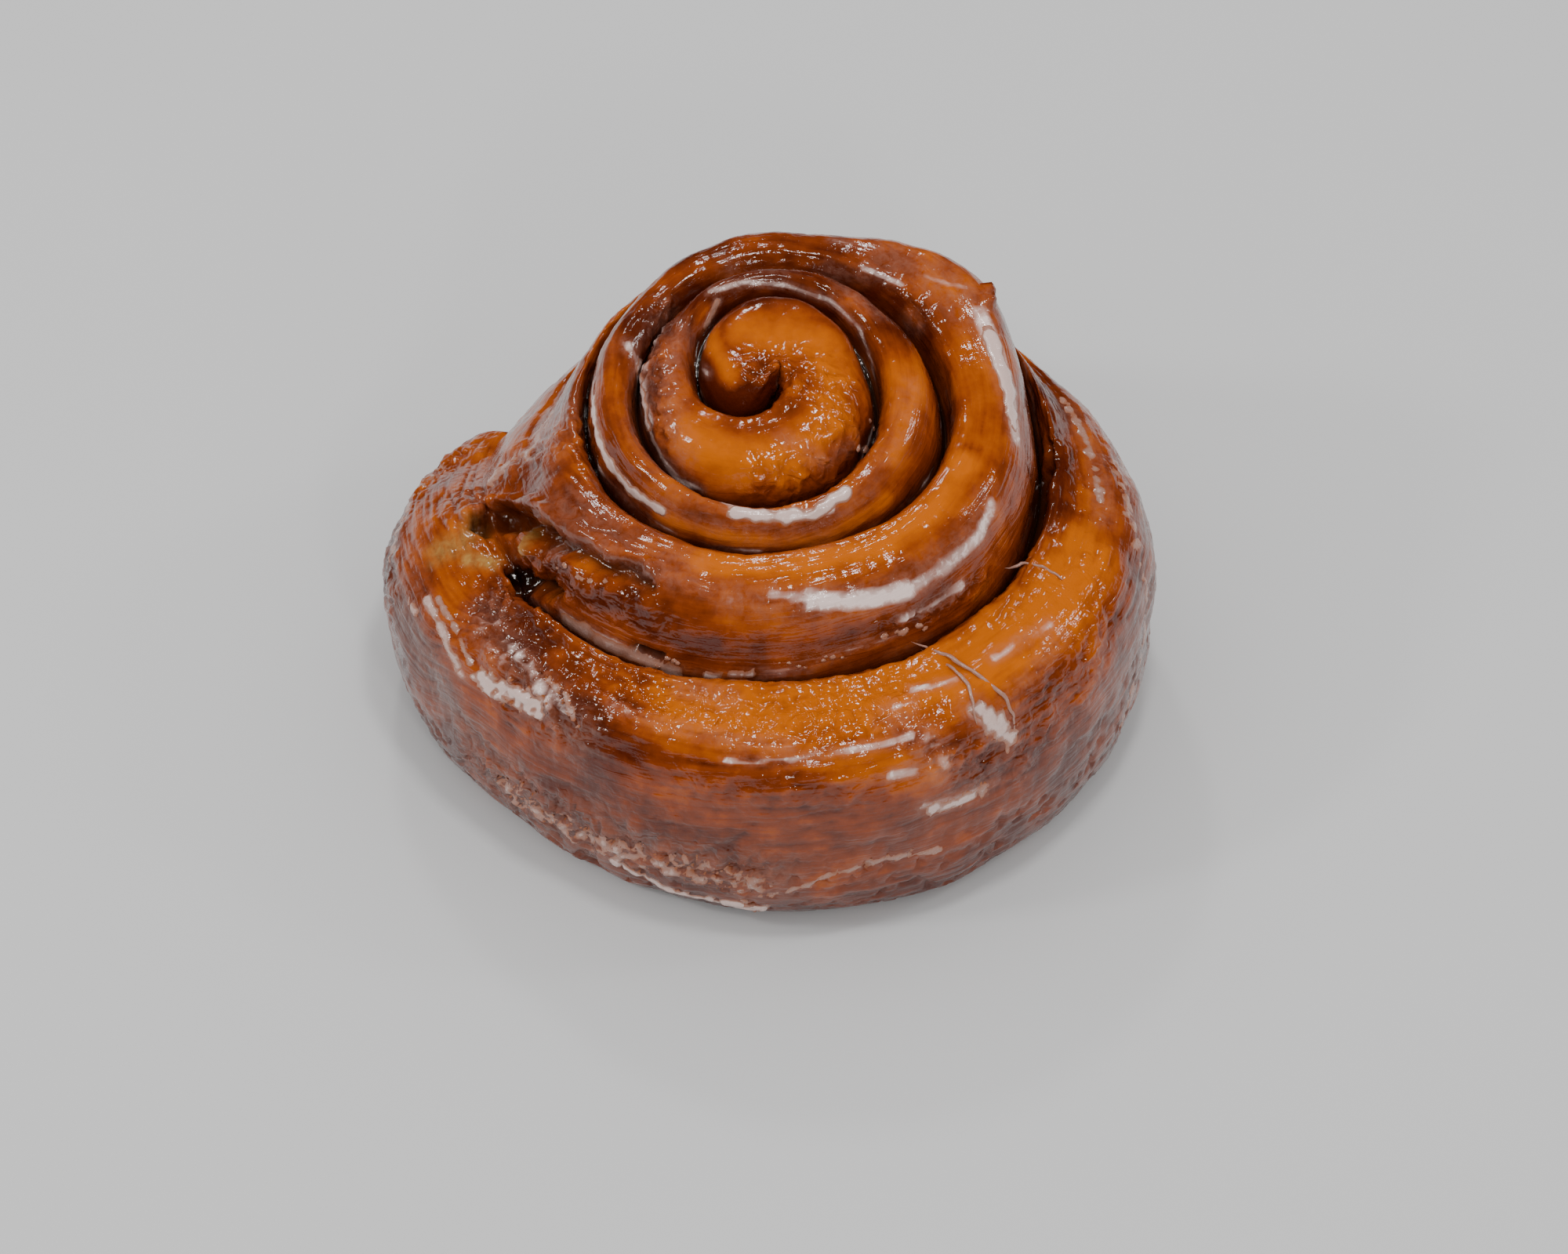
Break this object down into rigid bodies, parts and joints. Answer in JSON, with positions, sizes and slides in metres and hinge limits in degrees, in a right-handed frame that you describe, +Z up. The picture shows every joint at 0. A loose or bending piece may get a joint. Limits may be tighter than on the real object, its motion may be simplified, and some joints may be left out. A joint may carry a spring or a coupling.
{
  "type": "cinnamon roll",
  "caption": "Glazed cinnamon roll: a strip of browned dough wound outward and down from a raised, leaning spiral to a bulging outer turn on a flat foot.",
  "frame": {"origin": "middle of the roll's outline, on the surface that it rests on", "axes": "+Z up, -Y to the low front of the leaning spiral, +X along the roll's width; the strip ends on the -X side"},
  "size_m": [0.1136, 0.1002, 0.0614],
  "materials": {
    "glazed_crust": "browned dough under a thin clear sugar glaze, amber on the crowns and red-brown in the seams",
    "sugar_glaze": "dried sugar glaze, thin, pale and partly see-through"
  },
  "bodies": {
    "root": {"cinnamon_roll": "glazed_crust"}
  },
  "joints": []
}
